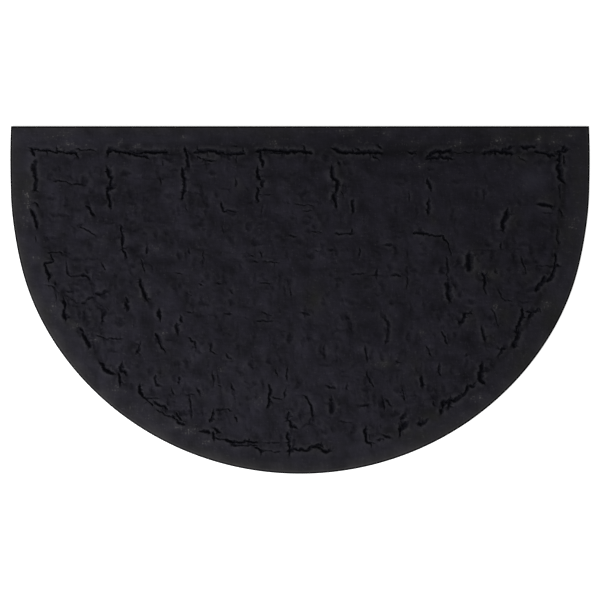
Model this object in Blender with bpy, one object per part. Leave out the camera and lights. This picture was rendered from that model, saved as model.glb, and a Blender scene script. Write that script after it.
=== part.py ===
"""Half-round doormat: one flat sheet of moulded black rubber, lying with its creased face up.

Metres, +Z up. The origin is the middle of the flat underside. The straight edge is at +Y and the
curve bulges towards -Y. A plain border runs all round. Inside it the face is broken by ragged
creases: a ring that follows the border, spokes that part the row of blocks under the straight
edge, and loose ones in the field.
"""

from collections import namedtuple

import bpy
import numpy as np
from mathutils import Vector
from mathutils.geometry import delaunay_2d_cdt

MM = 0.001

# Outline of the sheet: sides that bow out a little, drawn in at the corners and at a soft waist
WIDTH = 0.750
DEPTH = 0.450
SIDE_HEIGHT = 0.0874
SIDE_SPARE = 0.00018
CORNER_FROM = 0.172
CORNER_DRAW = 0.0011
WAIST_Y = 0.079
WAIST_REACH = 0.062
WAIST_DRAW = 0.0023

# Its section
THICKNESS = 0.008
TOP_ROUND = 0.0025
FOOT_ROUND = 0.0008

# The face: a plain border, then a field that lies a little lower and is gently uneven
BORDER = 0.028
FIELD_SLOPE = 0.014
FIELD_DROP = 0.0006
SWELL = 0.0003
SWELL_LENGTHS = (0.118, 0.083)
SWELL_START = 1.3

# Every crease: a sharp cut between its lips, with a soft dip beside it, and a line that wanders
DIP_REACH = 0.006
DIP_SHARE = 0.25
TAPER = 5
WANDER = 0.0011
WANDER_LENGTH = 0.017
WANDER_TURN = (310, 170)

# How finely the sheet is divided
EDGE_STEPS = 50
SIDE_STEPS = 6
CURVE_STEPS = 84
ROUND_STEPS = 3
CREASE_STEP = 0.0045
FIELD_STEP = 0.017
LIP_GAP = 0.0014
DIP_GAP = 0.003
FIELD_GAP = 0.008
CLOSEST = 1e-6
SHARP_FROM = 35

RUBBER_COLOUR = (0.0152, 0.0144, 0.0185, 1.0)
RUBBER_ROUGHNESS = 0.72

HALF_WIDTH = WIDTH / 2
SIDE_X = HALF_WIDTH + SIDE_SPARE
STRAIGHT_EDGE_Y = DEPTH / 2
CURVE_Y = STRAIGHT_EDGE_Y - SIDE_HEIGHT
CURVE_DROP = DEPTH - SIDE_HEIGHT

# A crease runs from one point to another, in millimetres from the middle of the mat. bow is how
# far its middle stands out to the left of that way, wide is lip to lip, deep is its deepest point.
Crease = namedtuple("Crease", "from_x from_y to_x to_y bow wide deep")

RING_UNDER_STRAIGHT_EDGE = [
    Crease(-348, 196, -316, 192, 1.0, 3.2, 2.0),
    Crease(-316, 192, -288, 188, 1.0, 3.8, 2.2),
    Crease(-245, 195, -220, 191, 0.5, 4.2, 2.4),
    Crease(-222, 191, -196, 184, 0.5, 4.2, 2.2),
    Crease(-218, 192, -171, 193, -1.0, 3.2, 1.8),
    Crease(-137, 191, -106, 191, 2.5, 3.8, 2.2),
    Crease(-106, 192, -71, 191, -2.5, 4.2, 2.4),
    Crease(-40, 191, 15, 190, 2.5, 4.0, 2.4),
    Crease(42, 196, 58, 191, 0.5, 4.2, 2.2),
    Crease(68, 189, 104, 190, 3.0, 4.0, 2.4),
    Crease(164, 186, 196, 195, 2.5, 4.2, 2.4),
    Crease(164, 181, 197, 182, 2.5, 3.2, 1.6),
    Crease(236, 189, 258, 192, 1.5, 4.5, 2.4),
    Crease(260, 193, 276, 188, 1.0, 4.0, 2.2),
    Crease(286, 198, 304, 197, 1.0, 3.8, 2.0),
    Crease(303, 191, 330, 186, 0.5, 4.0, 2.2),
]

RING_ROUND_CURVE = [
    Crease(-342, 181, -342, 161, -3.0, 4.6, 2.4),
    Crease(-342, 161, -345, 142, 4.0, 4.6, 2.4),
    Crease(-347, 117, -338, 94, 1.0, 4.0, 2.2),
    Crease(-329, 48, -324, 26, 0.5, 4.0, 2.2),
    Crease(-306, 1, -302, -25, 0.5, 4.2, 2.4),
    Crease(-283, -36, -271, -60, 1.0, 4.6, 2.4),
    Crease(-258, -81, -251, -90, -0.5, 4.0, 2.0),
    Crease(-251, -90, -240, -95, -0.5, 4.0, 2.0),
    Crease(-232, -94, -231, -108, 0.0, 4.6, 2.4),
    Crease(-207, -109, -200, -130, -3.0, 4.4, 2.4),
    Crease(-187, -131, -172, -140, 0.5, 4.4, 2.2),
    Crease(-163, -145, -149, -160, -1.0, 4.0, 2.0),
    Crease(-115, -156, -110, -180, -1.5, 4.4, 2.2),
    Crease(-88, -184, -54, -183, 0.8, 4.4, 2.4),
    Crease(-15, -173, -14, -199, -1.5, 4.6, 2.6),
    Crease(-12, -192, 9, -193, 0.8, 3.8, 2.2),
    Crease(11, -192, 29, -188, 1.5, 4.2, 2.4),
    Crease(84, -163, 85, -185, 1.0, 4.4, 2.4),
    Crease(139, -157, 129, -174, -1.0, 5.4, 2.6),
    Crease(165, -155, 152, -160, 0.0, 5.0, 2.2),
    Crease(200, -129, 181, -146, -4.0, 4.4, 2.4),
    Crease(217, -110, 200, -129, 2.5, 4.4, 2.4),
    Crease(236, -82, 234, -106, -1.0, 5.0, 2.6),
    Crease(285, -40, 276, -60, 1.5, 4.6, 2.2),
    Crease(289, -10, 282, -39, -2.0, 4.2, 2.2),
    Crease(317, 30, 305, 12, 1.0, 4.2, 2.2),
    Crease(330, 60, 318, 27, 2.0, 4.4, 2.2),
    Crease(336, 189, 337, 160, 1.5, 5.0, 2.6),
]

SPOKES = [
    Crease(-243, 160, -242, 145, 1.0, 5.6, 2.6),
    Crease(-249, 144, -246, 122, 0.5, 4.2, 2.0),
    Crease(-146, 198, -144, 172, 1.0, 4.0, 2.0),
    Crease(-151, 170, -151, 130, 1.5, 4.2, 2.2),
    Crease(-51, 188, -48, 173, 1.0, 4.0, 2.0),
    Crease(-54, 171, -54, 128, 0.0, 4.4, 2.2),
    Crease(43, 174, 49, 153, -1.5, 4.6, 2.2),
    Crease(49, 153, 45, 131, -1.5, 4.6, 2.4),
    Crease(166, 158, 169, 143, 0.0, 4.0, 1.8),
    Crease(167, 130, 167, 112, 0.0, 4.0, 2.0),
    Crease(270, 118, 263, 89, 1.5, 4.8, 2.4),
    Crease(219, 60, 218, 39, 0.0, 6.4, 2.6),
    Crease(157, -99, 158, -112, 0.0, 4.6, 2.2),
    Crease(42, -127, 42, -146, 0.0, 5.4, 2.0),
    Crease(-14, -144, -10, -163, -2.0, 4.2, 2.0),
    Crease(-38, -110, -41, -139, 1.5, 4.6, 2.4),
]

FIELD = [
    Crease(309, 123, 327, 122, -1.0, 4.4, 2.4),
    Crease(145, 86, 180, 83, 3.0, 3.6, 1.8),
    Crease(192, 22, 194, 0, 1.0, 4.8, 2.4),
    Crease(240, 36, 239, 16, -1.5, 4.2, 2.2),
    Crease(221, -13, 207, -31, -1.5, 4.6, 2.0),
    Crease(-230, 78, -224, 54, -0.5, 4.0, 2.0),
    Crease(-207, 28, -198, 0, 0.5, 4.6, 2.2),
    Crease(-182, -13, -181, -26, 0.0, 4.8, 2.4),
    Crease(-159, -30, -157, -43, 0.0, 4.2, 2.0),
    Crease(-186, -43, -173, -67, -1.0, 4.0, 1.8),
    Crease(-252, -13, -256, -28, -1.0, 4.2, 1.8),
    Crease(-45, 50, -29, 49, 0.0, 3.4, 1.6),
]

CREASES = RING_UNDER_STRAIGHT_EDGE + RING_ROUND_CURVE + SPOKES + FIELD


def clear_scene():
    for obj in list(bpy.data.objects):
        bpy.data.objects.remove(obj)


def narrowing(y):
    """How much narrower than straight sides and half an ellipse the mat is at this height, as a
    factor: a soft waist below the sides, and a draw that grows as a square towards the corners."""
    waist = WAIST_DRAW * np.exp(-(((y - WAIST_Y) / WAIST_REACH) ** 2))
    up = np.clip((y - CORNER_FROM) / (STRAIGHT_EDGE_Y - CORNER_FROM), 0, 1)
    return 1 - (waist + CORNER_DRAW * up**2) / SIDE_X


def outline(inset):
    """The mat's outline, this far in from its edge, as points anticlockwise from its right corner."""
    half = SIDE_X - inset
    top = STRAIGHT_EDGE_Y - inset
    across = np.linspace(half, -half, EDGE_STEPS, endpoint=False)
    down = np.linspace(top, CURVE_Y, SIDE_STEPS, endpoint=False)
    turn = np.linspace(np.pi, 2 * np.pi, CURVE_STEPS, endpoint=False)
    up = np.linspace(CURVE_Y, top, SIDE_STEPS, endpoint=False)
    curve = np.column_stack([half * np.cos(turn), CURVE_Y + (CURVE_DROP - inset) * np.sin(turn)])
    points = np.concatenate(
        [
            np.column_stack([across, np.full(EDGE_STEPS, top)]),
            np.column_stack([np.full(SIDE_STEPS, -half), down]),
            curve,
            np.column_stack([np.full(SIDE_STEPS, half), up]),
        ]
    )
    points[:, 0] *= narrowing(points[:, 1])
    return points


def smooth_step(t):
    t = np.clip(t, 0, 1)
    return t * t * (3 - 2 * t)


def inside_edge(points):
    """How far each point lies in from the mat's edge."""
    x, y = points[:, 0] / narrowing(points[:, 1]), points[:, 1]
    below = np.minimum(y - CURVE_Y, 0)
    reach = np.hypot(x, below)
    share = np.hypot(x / SIDE_X, below / CURVE_DROP)
    off_middle = share > 0
    to_side = np.full(len(points), SIDE_X)
    to_side[off_middle] = reach[off_middle] * (1 / share[off_middle] - 1)
    return np.minimum(to_side, STRAIGHT_EDGE_Y - y)


def crease_line(crease):
    """The crease's centreline, and the unit vector that points to its left."""
    start = np.array([crease.from_x, crease.from_y]) * MM
    end = np.array([crease.to_x, crease.to_y]) * MM
    length = np.linalg.norm(end - start)
    along = (end - start) / length
    left = np.array([-along[1], along[0]])
    share = np.linspace(0, 1, max(3, round(length / CREASE_STEP) + 1))
    arch = 4 * share * (1 - share)
    turn = 2 * np.pi * share * length / WANDER_LENGTH + start @ WANDER_TURN
    wander = WANDER * np.sin(turn)
    sideways = crease.bow * MM * arch + wander * np.sqrt(arch)
    return start + np.outer(share * length, along) + np.outer(sideways, left), left


def beside_crease(crease, reach):
    """Rows of points along both sides of the crease, this far out from its lips."""
    line, left = crease_line(crease)
    offset = (crease.wide / 2 * MM + reach) * left
    return np.concatenate([line - offset, line + offset])


def distance_along(points, line):
    """Each point's distance from the line, and how far along it the nearest place is, from 0 to 1."""
    start, step = line[:-1], np.diff(line, axis=0)
    offset = points[:, None] - start
    share = np.clip((offset * step).sum(2) / (step * step).sum(1), 0, 1)
    distance = np.linalg.norm(offset - share[:, :, None] * step, axis=2)
    nearest = distance.argmin(axis=1)
    rows = np.arange(len(points))
    return distance[rows, nearest], (nearest + share[rows, nearest]) / len(step)


def crease_depth(points):
    """How far the creases cut the face down at each point: a V between the lips, and a soft dip."""
    deepest = np.zeros(len(points))
    for crease in CREASES:
        line, _ = crease_line(crease)
        lip = crease.wide / 2 * MM
        near, along = distance_along(points, line)
        cut = (1 - DIP_SHARE) * np.clip(1 - near / lip, 0, 1)
        dip = DIP_SHARE * smooth_step(1 - near / (lip + DIP_REACH))
        fade = 1 - np.abs(2 * along - 1) ** TAPER
        deepest = np.maximum(deepest, crease.deep * MM * fade * (cut + dip))
    return deepest


def face_height(points):
    """The face's height over the floor: flat on the border, lower and gently uneven in the field."""
    field = smooth_step((inside_edge(points) - BORDER) / FIELD_SLOPE)
    long, short = (2 * np.pi / length for length in SWELL_LENGTHS)
    swell = SWELL * np.sin(long * points[:, 0] + SWELL_START) * np.cos(short * points[:, 1])
    return THICKNESS - field * (FIELD_DROP - swell) - crease_depth(points)


def clear_of(points, others, gap):
    """The points that lie at least gap away from all the others."""
    distance = np.linalg.norm(points[:, None] - others, axis=2).min(axis=1)
    return points[distance >= gap]


def face_layout():
    """The face's points, rim first, and the edges along the bottoms of its creases."""
    points = outline(TOP_ROUND)
    edges = []
    for crease in CREASES:
        line, _ = crease_line(crease)
        bottom = np.arange(len(line)) + len(points)
        edges += list(zip(bottom[:-1].tolist(), bottom[1:].tolist()))
        points = np.concatenate([points, line])
    for reach, gap in ((0, LIP_GAP), (DIP_REACH, DIP_GAP)):
        for crease in CREASES:
            beside = clear_of(beside_crease(crease, reach), points, gap)
            points = np.concatenate([points, beside])
    columns = np.arange(-HALF_WIDTH, HALF_WIDTH, FIELD_STEP)
    rows = np.arange(-DEPTH / 2, DEPTH / 2, FIELD_STEP)
    grid = np.stack(np.meshgrid(columns, rows), axis=-1).reshape(-1, 2)
    grid = grid[inside_edge(grid) > TOP_ROUND + FIELD_GAP]
    return np.concatenate([points, clear_of(grid, points, FIELD_GAP)]), edges


def rim_profile():
    """Rows of the rim as (inset, height), from the face's edge over the rounding to the floor."""
    turns = np.linspace(0, np.pi / 2, ROUND_STEPS + 1)[1:]
    rounding = [
        (TOP_ROUND * (1 - np.sin(turn)), THICKNESS - TOP_ROUND * (1 - np.cos(turn)))
        for turn in turns
    ]
    return rounding + [(0.0, FOOT_ROUND), (FOOT_ROUND, 0.0)]


def mat_mesh():
    """The whole sheet as one closed mesh: the creased face, the rim round it and the flat underside."""
    flat, edges = face_layout()
    loop = list(range(len(outline(TOP_ROUND))))
    corners, _, triangles, sources, _, _ = delaunay_2d_cdt(
        [Vector(point) for point in flat], edges, [loop], 1, CLOSEST
    )
    face = np.array([tuple(corner) for corner in corners])
    heights = face_height(face)
    place = {source: corner for corner, found in enumerate(sources) for source in found}
    above = [place[i] for i in loop]
    heights[above] = THICKNESS
    points = [np.column_stack([face, heights])]
    faces = [tuple(triangle) for triangle in triangles]
    count = len(face)
    for inset, height in rim_profile():
        points.append(np.column_stack([outline(inset), np.full(len(loop), height)]))
        below = list(range(count, count + len(loop)))
        for i in loop:
            after = (i + 1) % len(loop)
            faces.append((above[i], below[i], below[after], above[after]))
        above = below
        count += len(loop)
    faces.append(tuple(reversed(above)))
    mesh = bpy.data.meshes.new("mat")
    mesh.from_pydata(np.concatenate(points).tolist(), [], faces)
    mesh.validate()
    mesh.shade_smooth()
    mesh.set_sharp_from_angle(angle=np.radians(SHARP_FROM))
    return mesh


def rubber():
    material = bpy.data.materials.new("black_rubber")
    material.use_nodes = True
    shader = material.node_tree.nodes["Principled BSDF"]
    shader.inputs["Base Color"].default_value = RUBBER_COLOUR
    shader.inputs["Roughness"].default_value = RUBBER_ROUGHNESS
    shader.inputs["Metallic"].default_value = 0.0
    return material


def main():
    clear_scene()
    mat = bpy.data.objects.new("mat", mat_mesh())
    mat.data.materials.append(rubber())
    bpy.context.scene.collection.objects.link(mat)


main()
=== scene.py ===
"""Half-round black rubber doormat on a white floor, seen from straight above.

The mat is one moulding with a plain border and a face that creased while it cured. It was moulded
against cloth, whose threads left a fine grain in it. Metres, +Z up, straight edge at +Y.
"""

from collections import namedtuple

import bpy
import numpy as np
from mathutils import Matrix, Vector
from mathutils.geometry import delaunay_2d_cdt


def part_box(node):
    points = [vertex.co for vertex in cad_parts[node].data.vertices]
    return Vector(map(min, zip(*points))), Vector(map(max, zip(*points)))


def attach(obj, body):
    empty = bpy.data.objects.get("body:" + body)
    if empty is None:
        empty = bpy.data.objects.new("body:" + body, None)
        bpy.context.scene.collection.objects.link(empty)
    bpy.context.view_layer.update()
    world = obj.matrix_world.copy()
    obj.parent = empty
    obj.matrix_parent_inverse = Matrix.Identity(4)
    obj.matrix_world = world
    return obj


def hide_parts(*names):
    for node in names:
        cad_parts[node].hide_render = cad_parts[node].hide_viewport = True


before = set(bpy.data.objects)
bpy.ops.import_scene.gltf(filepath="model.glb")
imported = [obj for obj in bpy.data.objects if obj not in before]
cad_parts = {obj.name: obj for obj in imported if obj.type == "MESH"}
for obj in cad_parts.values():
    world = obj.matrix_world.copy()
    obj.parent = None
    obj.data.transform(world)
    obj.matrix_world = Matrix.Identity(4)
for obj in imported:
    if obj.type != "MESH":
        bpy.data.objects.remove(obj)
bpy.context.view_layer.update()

MM = 0.001
LOW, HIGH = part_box("mat")
HALF_WIDTH = HIGH[0]
STRAIGHT_EDGE_Y = HIGH[1]
CURVE_END_Y = LOW[1]
THICKNESS = HIGH[2]

# Outline: sides that bow out a little, drawn in at the corners and at a soft waist
SIDE_HEIGHT = 87.4 * MM
SIDE_X = HALF_WIDTH + 0.18 * MM
CURVE_Y = STRAIGHT_EDGE_Y - SIDE_HEIGHT
CURVE_DROP = CURVE_Y - CURVE_END_Y
CORNER_FROM = 172 * MM
CORNER_DRAW = 1.1 * MM
WAIST_Y = 79 * MM
WAIST_REACH = 62 * MM
WAIST_DRAW = 2.3 * MM

# Section of the rim
TOP_ROUND = 2.5 * MM
FOOT_ROUND = 0.8 * MM
SKIN_GAP = 0.02 * MM

# The face, from the rim inwards
BORDER = 28 * MM
FIELD_SLOPE = 14 * MM
FIELD_DROP = 0.6 * MM
EDGE_FALL = 18 * MM
EDGE_DROP = 0.6 * MM
CORNER_BLEND = 5.0

# How many points the outline has along the straight edge, each side and the curve, and the rim's
# section over the upper edge and round the foot
EDGE_POINTS = 300
SIDE_POINTS = 36
CURVE_POINTS = 470
OVER_POINTS = 7
FOOT_POINTS = 3

# The creases' relief fades out towards the edge over this width, the border has this share of the
# field's crumple, and nothing stands higher than this over the full thickness
EDGE_FADE = 6 * MM
BORDER_CRUMPLE = 0.15
HIGHEST = 0.4 * MM

# Along its way, every crease steps from side to side, swells and thins, and ends in a point
STATION = 1.1 * MM
LEAST_STATIONS = 4
JOG_LENGTH = 4.6 * MM
JOG = 1.15 * MM
FINE_JOG_LENGTH = 2.4 * MM
FINE_JOG = 0.4 * MM
JOG_SUDDEN = 2.4
SWELL_LENGTH = 6 * MM
SWELL = 0.38
FINE_SWELL_LENGTH = 2.6 * MM
FINE_SWELL = 0.32
DEPTH_SWELL = 0.5
POINT_START = 0.3
POINT_LENGTH = 0.7
POINT_CURVE = 0.6

# Across it: a V that leans to one side, a lip on both sides, and one side a step higher. A crease
# FULL_DEEP millimetres deep has them at full strength, and FADED times their reach away they end
FULL_DEEP = 2
LEAN = 0.45
WALL_CURVE = 0.85
LIP_LIFT = 0.5 * MM
LIP_PLACE = 1.6
LIP_WIDTH = 0.7
STEP_LIFT = 0.42 * MM
STEP_REACH = 6 * MM
FADED = 3

# The shade in it and beside it. A shallow crease is darker than its depth alone would make it
SHADE_REACH = 2.1
HALO_REACH = 4.2 * MM
SHALLOW_STAYS_DARK = 0.65
VALLEY_SHADE = 0.48

# The crumple between the creases: the cells of the random fields that make it, wide by high in
# metres, and how far each lifts the face in millimetres
BROAD_CELL = (0.055, 0.045)
BROAD_LIFT = 0.3
PUCKER_CELLS = ((0.023, 0.014), (0.014, 0.023))
PUCKER_LIFT = 0.56
FINE_CELLS = ((0.011, 0.006), (0.006, 0.011))
FINE_LIFT = 0.04
VALLEY_CELLS = ((0.022, 0.011), (0.011, 0.022), (0.015, 0.015))
VALLEY_WIDTH = 0.13
VALLEY_DEEP = 0.5
PATCH_CELL = (0.03, 0.03)
PATCH_SHIFT = 0.2

# How much the calm places weaken the small creases, the crumple and the mottle
CALMING = 0.6

# Short side creases that leave the deeper ones
TICK_EVERY = 9
TICK_FROM_DEEP = 1.5
TICK_LENGTH = (2.0, 4.5)
TICK_TURN = (0.9, 1.7)
TICK_SHARE = (0.45, 0.7)

# The cloth's threads in the rubber
THREAD_GAP = 2.4 * MM
THREAD_LENGTH = 11 * MM

# The mottle of the skin: how broad each kind of mark is, and its weight beside the threads' own
MOTTLES = ((70 * MM, 0.4), (18 * MM, 1.55), (6 * MM, 0.2))
THREAD_WEIGHT = 0.55

# How broad the other marks on the rubber are
BORDER_PATCH = 35 * MM
FILM_PATCH = 9 * MM
SPECK = 2.2 * MM
PIT = 8 * MM
EDGE_MARK = 5 * MM

# The way the key light comes from, lower left: the border's film and the rim are painted paler towards it,
# as painted light, and the drop to the field blacker away from it, as painted shade. Then how far in
# from the edge the border's band and its thin painted highlight, where the face turns over, begin
# and are full. Along the straight edge, from this height, the highlight is fainter
KEY_LIGHT_WAY = (-0.5, -1, 0)
BAND_BEGINS = 16 * MM
BAND_FULL = 4 * MM
EDGE_HIGHLIGHT_BEGINS = 4.6 * MM
EDGE_HIGHLIGHT_FULL = 3.2 * MM
FAINTER_FROM = 217 * MM
FAINTER_FULL = 220 * MM

# How strongly the film, the painted highlight on a lip and the painted shade beside a crease cover the
# rubber, from 0 to 1, and how much the threads break up the painted shade in a crease
FILM_COVER = 0.85
LIP_HIGHLIGHT = 0.32
BESIDE_SHADE = 0.42
THREADS_BREAK = 0.9

# Pale dust: the weight of its specks and places beside the threads' own, how strongly it covers the
# rubber in its places and elsewhere, and the film round it
SPECK_WEIGHT = 1.5
PLACE_WEIGHT = 0.22
DUST_COVER = 0.80
SPARSE_COVER = 0.15
DUST_FILM = 0.10

# Settles every random choice, so that each run gives the same mat
SEED = 21

# How finely the face is divided: the grids' steps, the least room between points, and the room that
# the grids leave round a crease and inside the rim
FIELD_STEP = 2.6 * MM
BORDER_STEP = 3.0 * MM
CLOSEST = 0.8 * MM
CREASE_ROOM = 1.6 * MM
RIM_ROOM = 1.2 * MM

# Rows of points across a crease, as shares of its half width. A shallow one has fewer
DEEP_ROWS = (0.0, -1.0, 1.0, -0.5, 0.5, -1.5, 1.5, -2.1, 2.1)
SHALLOW_ROWS = (0.0, -1.0, 1.0, -1.9, 1.9)
DEEP_FROM = 0.9 * MM

# How the points are joined: only inside the rim, and those nearer to each other than this as one
INSIDE_ONLY = 1
SAME_POINT = 1e-7

# The camera, where the photograph's was: straight above, with the mat almost filling the width
LENS = 85
SENSOR = 36
VIEW_WIDTH = 0.7762

# The studio: where each light stands, its size in metres and its power in watts
Light = namedtuple("Light", "name place size power")
LIGHTS = [
    Light("key", (-1.38, -1.15, 0.85), 0.8, 38.5),
    Light("overhead", (-0.1, -1.1, 2.9), 2.4, 14),
]

# How far the floor reaches to each side, and how strongly the pale room lights the mat
FLOOR_REACH = 150.0
ROOM_LIGHT = 0.3

Crease = namedtuple("Crease", "wide deep path")

UNDER_STRAIGHT_EDGE = [
    Crease(3.0, 2.2, [(-348, 196), (-332, 194), (-316, 192), (-290, 190)]),
    Crease(2.6, 2.0, [(-290, 191), (-287, 184)]),
    Crease(2.4, 1.6, [(-314, 192), (-314, 198)]),
    Crease(1.8, 1.2, [(-287, 195), (-265, 193)]),
    Crease(4.0, 2.4, [(-249, 187), (-245, 195), (-220, 191), (-205, 187), (-196, 184)]),
    Crease(5.0, 2.4, [(-247, 193), (-242, 196)]),
    Crease(3.4, 2.0, [(-220, 192), (-205, 190), (-195, 192), (-182, 191), (-171, 193)]),
    Crease(3.6, 2.2, [(-137, 191), (-115, 194), (-105, 191), (-88, 189), (-71, 191)]),
    Crease(2.6, 1.6, [(-132, 186), (-121, 180), (-111, 180)]),
    Crease(2.4, 1.0, [(-84, 199), (-81, 199)]),
    Crease(4.0, 2.4, [(-56, 192), (-44, 195), (-22, 192), (-5, 193), (15, 190)]),
    Crease(2.4, 1.4, [(-38, 190), (-12, 190)]),
    Crease(2.6, 1.6, [(6, 191), (6, 198)]),
    Crease(3.6, 2.2, [(42, 196), (57, 191), (70, 191)]),
    Crease(3.6, 2.2, [(70, 190), (82, 190), (95, 192), (104, 190)]),
    Crease(3.0, 1.6, [(95, 187), (101, 183)]),
    Crease(2.6, 1.4, [(102, 200), (105, 196)]),
    Crease(3.0, 1.2, [(74, 196), (77, 195)]),
    Crease(3.2, 1.8, [(141, 192), (145, 190), (150, 192)]),
    Crease(3.6, 2.2, [(165, 184), (170, 190), (192, 193), (196, 195)]),
    Crease(3.0, 1.8, [(164, 182), (180, 185), (198, 183)]),
    Crease(1.8, 1.0, [(195, 190), (224, 191)]),
    Crease(4.0, 2.4, [(237, 190), (245, 192), (260, 192), (270, 191), (275, 188)]),
    Crease(3.0, 1.8, [(260, 193), (274, 198)]),
    Crease(3.6, 2.2, [(286, 198), (304, 197)]),
    Crease(3.6, 2.2, [(304, 191), (320, 189), (329, 186)]),
    Crease(2.4, 0.9, [(282, 185), (292, 181)]),
    Crease(3.0, 1.8, [(332, 191), (348, 194)]),
    Crease(3.0, 1.8, [(341, 200), (339, 192)]),
]

LEFT_RING = [
    Crease(3.2, 2.0, [(-347, 196), (-342, 187)]),
    Crease(4.4, 2.4, [(-342, 181), (-345, 170), (-339, 155), (-344, 142)]),
    Crease(3.0, 1.6, [(-341, 127), (-339, 122)]),
    Crease(3.6, 2.2, [(-347, 117), (-342, 107), (-338, 94)]),
    Crease(2.4, 0.9, [(-341, 83), (-341, 77)]),
    Crease(3.2, 2.2, [(-321, 59), (-319, 51), (-330, 46), (-324, 34), (-324, 26)]),
    Crease(2.2, 1.2, [(-325, 62), (-307, 61)]),
    Crease(4.0, 2.4, [(-306, 1), (-302, -6), (-305, -14), (-302, -25)]),
    Crease(2.6, 1.4, [(-302, -21), (-297, -21)]),
    Crease(2.2, 0.9, [(-314, 8), (-313, 0)]),
    Crease(4.2, 2.4, [(-283, -36), (-277, -47), (-271, -60)]),
    Crease(4.0, 2.2, [(-258, -80), (-251, -90), (-240, -95)]),
    Crease(3.8, 2.0, [(-230, -80), (-230, -90), (-225, -95)]),
    Crease(4.4, 2.4, [(-233, -94), (-231, -108)]),
    Crease(3.8, 2.4, [(-207, -109), (-207, -119), (-202, -126)]),
    Crease(2.6, 1.8, [(-203, -125), (-197, -131), (-190, -136)]),
    Crease(2.2, 1.2, [(-202, -125), (-182, -127)]),
    Crease(3.4, 2.2, [(-188, -131), (-180, -136), (-171, -140)]),
    Crease(2.0, 1.0, [(-185, -141), (-175, -148), (-162, -151)]),
    Crease(3.2, 2.0, [(-165, -150), (-160, -153), (-157, -158), (-148, -161)]),
    Crease(2.2, 1.2, [(-160, -145), (-152, -155)]),
    Crease(3.4, 1.8, [(-129, -170), (-116, -171)]),
]

BOTTOM_RING = [
    Crease(3.8, 2.2, [(-112, -144), (-115, -157)]),
    Crease(3.8, 2.0, [(-109, -165), (-104, -171)]),
    Crease(3.8, 2.0, [(-113, -171), (-110, -180)]),
    Crease(2.4, 1.2, [(-109, -178), (-95, -182)]),
    Crease(3.6, 2.2, [(-96, -180), (-84, -184), (-70, -183), (-55, -183)]),
    Crease(4.0, 2.0, [(-89, -187), (-81, -187)]),
    Crease(2.2, 1.4, [(-82, -187), (-68, -187), (-55, -188)]),
    Crease(4.2, 2.4, [(-58, -190), (-50, -194)]),
    Crease(2.2, 1.0, [(-50, -194), (-41, -193), (-34, -197), (-26, -195)]),
    Crease(2.2, 0.9, [(-46, -184), (-26, -184)]),
    Crease(3.6, 2.4, [(-16, -172), (-13, -184), (-14, -199)]),
    Crease(4.6, 2.4, [(-15, -196), (-10, -193), (-2, -193)]),
    Crease(3.0, 2.0, [(-2, -193), (9, -194), (13, -190), (18, -188), (30, -187)]),
    Crease(3.4, 2.2, [(22, -190), (30, -193), (34, -195), (41, -195)]),
    Crease(3.6, 2.0, [(-15, -144), (-14, -154), (-10, -162), (-4, -165)]),
    Crease(3.4, 2.4, [(85, -165), (85, -181), (88, -185), (94, -185)]),
    Crease(3.0, 1.6, [(101, -180), (109, -180)]),
    Crease(3.0, 1.6, [(107, -175), (117, -178)]),
    Crease(4.0, 1.8, [(138, -146), (131, -154)]),
    Crease(4.8, 2.6, [(139, -157), (131, -166), (129, -175)]),
    Crease(4.8, 2.4, [(153, -160), (165, -155)]),
]

RIGHT_RING = [
    Crease(
        4.0,
        2.4,
        [(216, -110), (214, -119), (207, -125), (200, -129), (192, -129), (186, -132), (182, -146)],
    ),
    Crease(3.2, 1.8, [(196, -131), (192, -138)]),
    Crease(3.0, 1.6, [(219, -111), (226, -110)]),
    Crease(4.8, 2.6, [(236, -83), (234, -95), (234, -104), (238, -108)]),
    Crease(3.0, 1.6, [(256, -71), (265, -61)]),
    Crease(4.6, 2.4, [(285, -40), (280, -52), (276, -61)]),
    Crease(3.6, 2.2, [(288, -10), (288, -22), (282, -31), (279, -42)]),
    Crease(3.4, 2.0, [(309, -11), (302, -17), (296, -23)]),
    Crease(3.4, 1.8, [(293, -14), (302, -17)]),
    Crease(4.0, 2.4, [(317, 30), (305, 12)]),
    Crease(4.0, 2.4, [(331, 60), (331, 42), (325, 30), (319, 25)]),
    Crease(2.8, 1.0, [(333, 92), (334, 72)]),
    Crease(2.2, 0.8, [(305, 44), (329, 44)]),
    Crease(4.6, 2.6, [(336, 190), (335, 170), (337, 159), (342, 152)]),
    Crease(3.0, 1.6, [(341, 187), (341, 177)]),
    Crease(2.6, 0.9, [(336, 150), (337, 132)]),
    Crease(3.2, 1.6, [(335, 117), (338, 110)]),
]

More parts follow.
